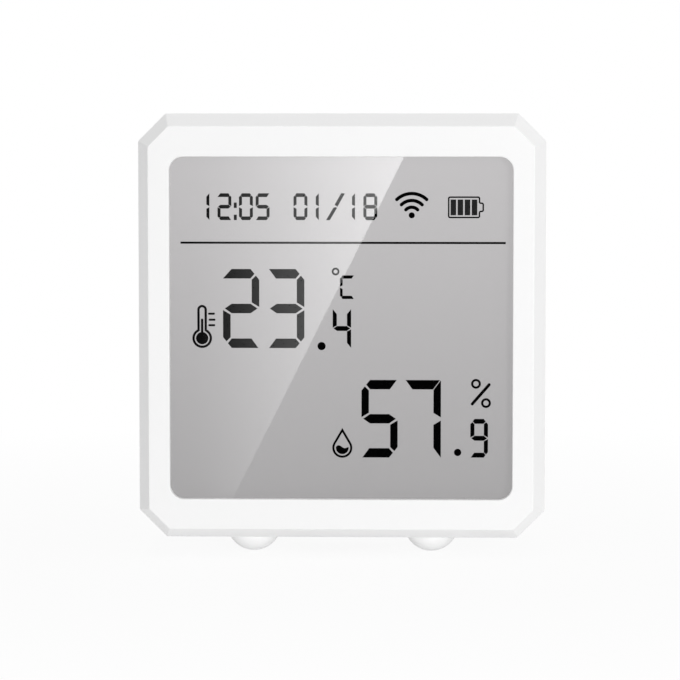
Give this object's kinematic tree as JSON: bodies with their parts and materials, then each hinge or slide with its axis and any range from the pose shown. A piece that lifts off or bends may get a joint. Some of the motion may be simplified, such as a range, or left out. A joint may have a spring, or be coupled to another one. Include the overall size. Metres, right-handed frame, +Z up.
{
  "type": "temperature humidity sensor",
  "caption": "White eight-sided indoor climate sensor with a bevelled bezel, a grey segment display, domed feet, a wall keyhole, a pairing button and a sliding battery door.",
  "frame": {"origin": "on the table, under the middle of the case", "axes": "+X to the right seen from the front, -Y out of the display, +Z up"},
  "size_m": [0.068, 0.028, 0.0738],
  "materials": {
    "white_plastic": "fine satin moulding",
    "adhesive_tape": "foam",
    "clear_plastic": "polished, clear",
    "display_film": "matt grey film",
    "panel_glass": "clear",
    "reflector_film": "silvered film",
    "holder_plastic": "moulded",
    "connector_rubber": "fine layers",
    "circuit_board": "solder mask",
    "radio_circuit": "solder mask",
    "chip_plastic": "moulded",
    "chip_ceramic": "fired ceramic",
    "ferrite": "matt",
    "can_aluminium": "drawn",
    "shield_steel": "tinned sheet",
    "screw_steel": "zinc plated",
    "contact_nickel": "nickel plated",
    "cell_jacket": "printed sleeve without lettering",
    "white_rubber": "soft matt"
  },
  "bodies": {
    "case": {"front_bezel": "white_plastic", "window_tape": "adhesive_tape", "display_window": "clear_plastic", "lcd_polarizer": "display_film", "lcd_front_glass": "panel_glass", "lcd_rear_glass": "panel_glass", "lcd_reflector": "reflector_film", "lcd_holder": "holder_plastic", "zebra_strip": "connector_rubber", "main_board": "circuit_board", "board_screws": "screw_steel", "controller_chip": "chip_plastic", "radio_board": "radio_circuit", "radio_shield": "shield_steel", "climate_sensor": "chip_plastic", "crystal": "shield_steel", "smoothing_capacitor": "can_aluminium", "inductor": "ferrite", "chip_parts": "chip_ceramic", "switch_body": "chip_plastic", "rear_cover": "white_plastic", "case_screws": "screw_steel", "cell_upper": "cell_jacket", "cell_lower": "cell_jacket", "contact_negative": "contact_nickel", "contact_positive": "contact_nickel", "contact_bridge": "contact_nickel", "battery_springs": "contact_nickel", "feet": "white_rubber"},
    "button": {"pairing_button": "white_plastic"},
    "plunger": {"switch_plunger": "chip_plastic"},
    "door": {"battery_door": "white_plastic"}
  },
  "joints": [
    {"name": "button_press", "type": "slide", "parent": "case", "child": "button", "axis": [0, -1, 0], "range_m": [0, 0.0003], "stiffness_N_per_m": 400, "springref_m": -0.001},
    {"name": "plunger_press", "type": "slide", "parent": "case", "child": "plunger", "axis": [0, -1, 0], "range_m": [0, 0.0003]},
    {"name": "door_slide", "type": "slide", "parent": "case", "child": "door", "axis": [1, 0, 0], "range_m": [0, 0.062]}
  ],
  "couplings": [
    {"joint": "plunger_press", "follows": "button_press", "ratio": 1}
  ]
}
